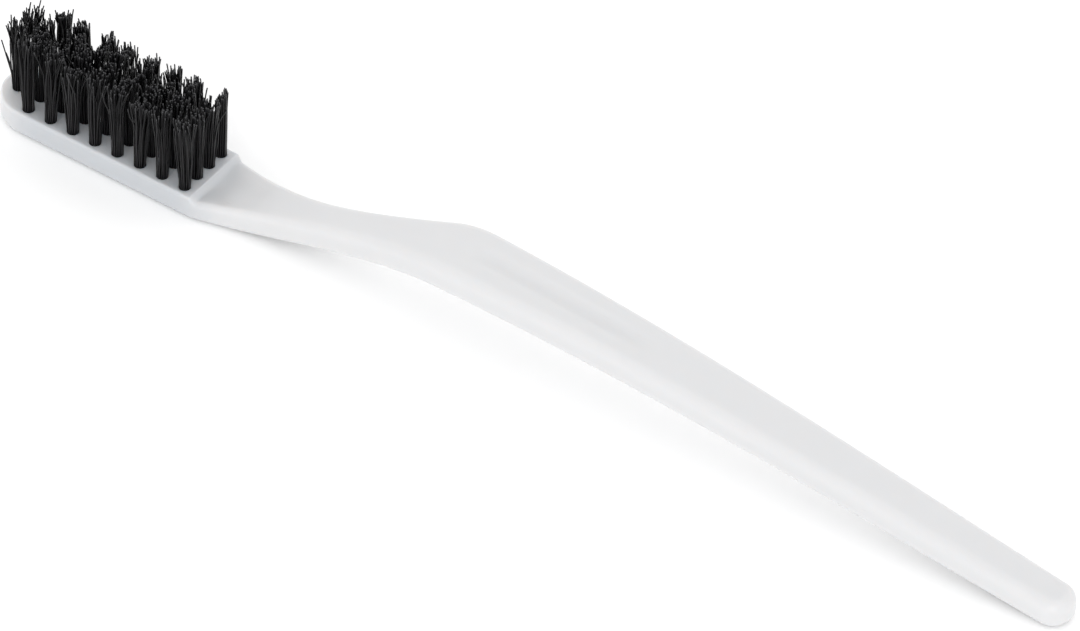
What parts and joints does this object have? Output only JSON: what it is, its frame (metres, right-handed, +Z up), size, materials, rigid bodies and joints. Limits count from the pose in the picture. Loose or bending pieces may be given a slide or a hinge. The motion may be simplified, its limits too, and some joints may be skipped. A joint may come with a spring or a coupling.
{
  "type": "nail brush",
  "caption": "Manicure nail brush with a toothbrush-style moulded handle, an arched grip and a narrow head of stapled nylon bristle tufts.",
  "frame": {"origin": "on the table under the middle of the brush's length, on its centre plane", "axes": "+X from the tip of the head towards the tail of the handle, +Y across the brush, +Z up along the bristles"},
  "size_m": [0.1692, 0.0112, 0.0158],
  "materials": {
    "white_plastic": "glossy white moulded plastic with a soft surface waviness",
    "black_nylon": "black nylon filaments with a soft sheen along their length",
    "anchor_metal": "bright drawn flat wire"
  },
  "bodies": {
    "root": {"handle": "white_plastic", "tuft_a1": "black_nylon", "tuft_a2": "black_nylon", "tuft_a3": "black_nylon", "tuft_a4": "black_nylon", "tuft_a5": "black_nylon", "tuft_a6": "black_nylon", "tuft_a7": "black_nylon", "tuft_a8": "black_nylon", "tuft_b1": "black_nylon", "tuft_b2": "black_nylon", "tuft_b3": "black_nylon", "tuft_b4": "black_nylon", "tuft_b5": "black_nylon", "tuft_b6": "black_nylon", "tuft_b7": "black_nylon", "tuft_b8": "black_nylon", "tuft_b9": "black_nylon", "tuft_c1": "black_nylon", "tuft_c2": "black_nylon", "tuft_c3": "black_nylon", "tuft_c4": "black_nylon", "tuft_c5": "black_nylon", "tuft_c6": "black_nylon", "tuft_c7": "black_nylon", "tuft_c8": "black_nylon", "tuft_c9": "black_nylon", "tuft_d1": "black_nylon", "tuft_d2": "black_nylon", "tuft_d3": "black_nylon", "tuft_d4": "black_nylon", "tuft_d5": "black_nylon", "tuft_d6": "black_nylon", "tuft_d7": "black_nylon", "tuft_d8": "black_nylon", "anchors_a": "anchor_metal", "anchors_b": "anchor_metal", "anchors_c": "anchor_metal", "anchors_d": "anchor_metal"}
  },
  "joints": []
}
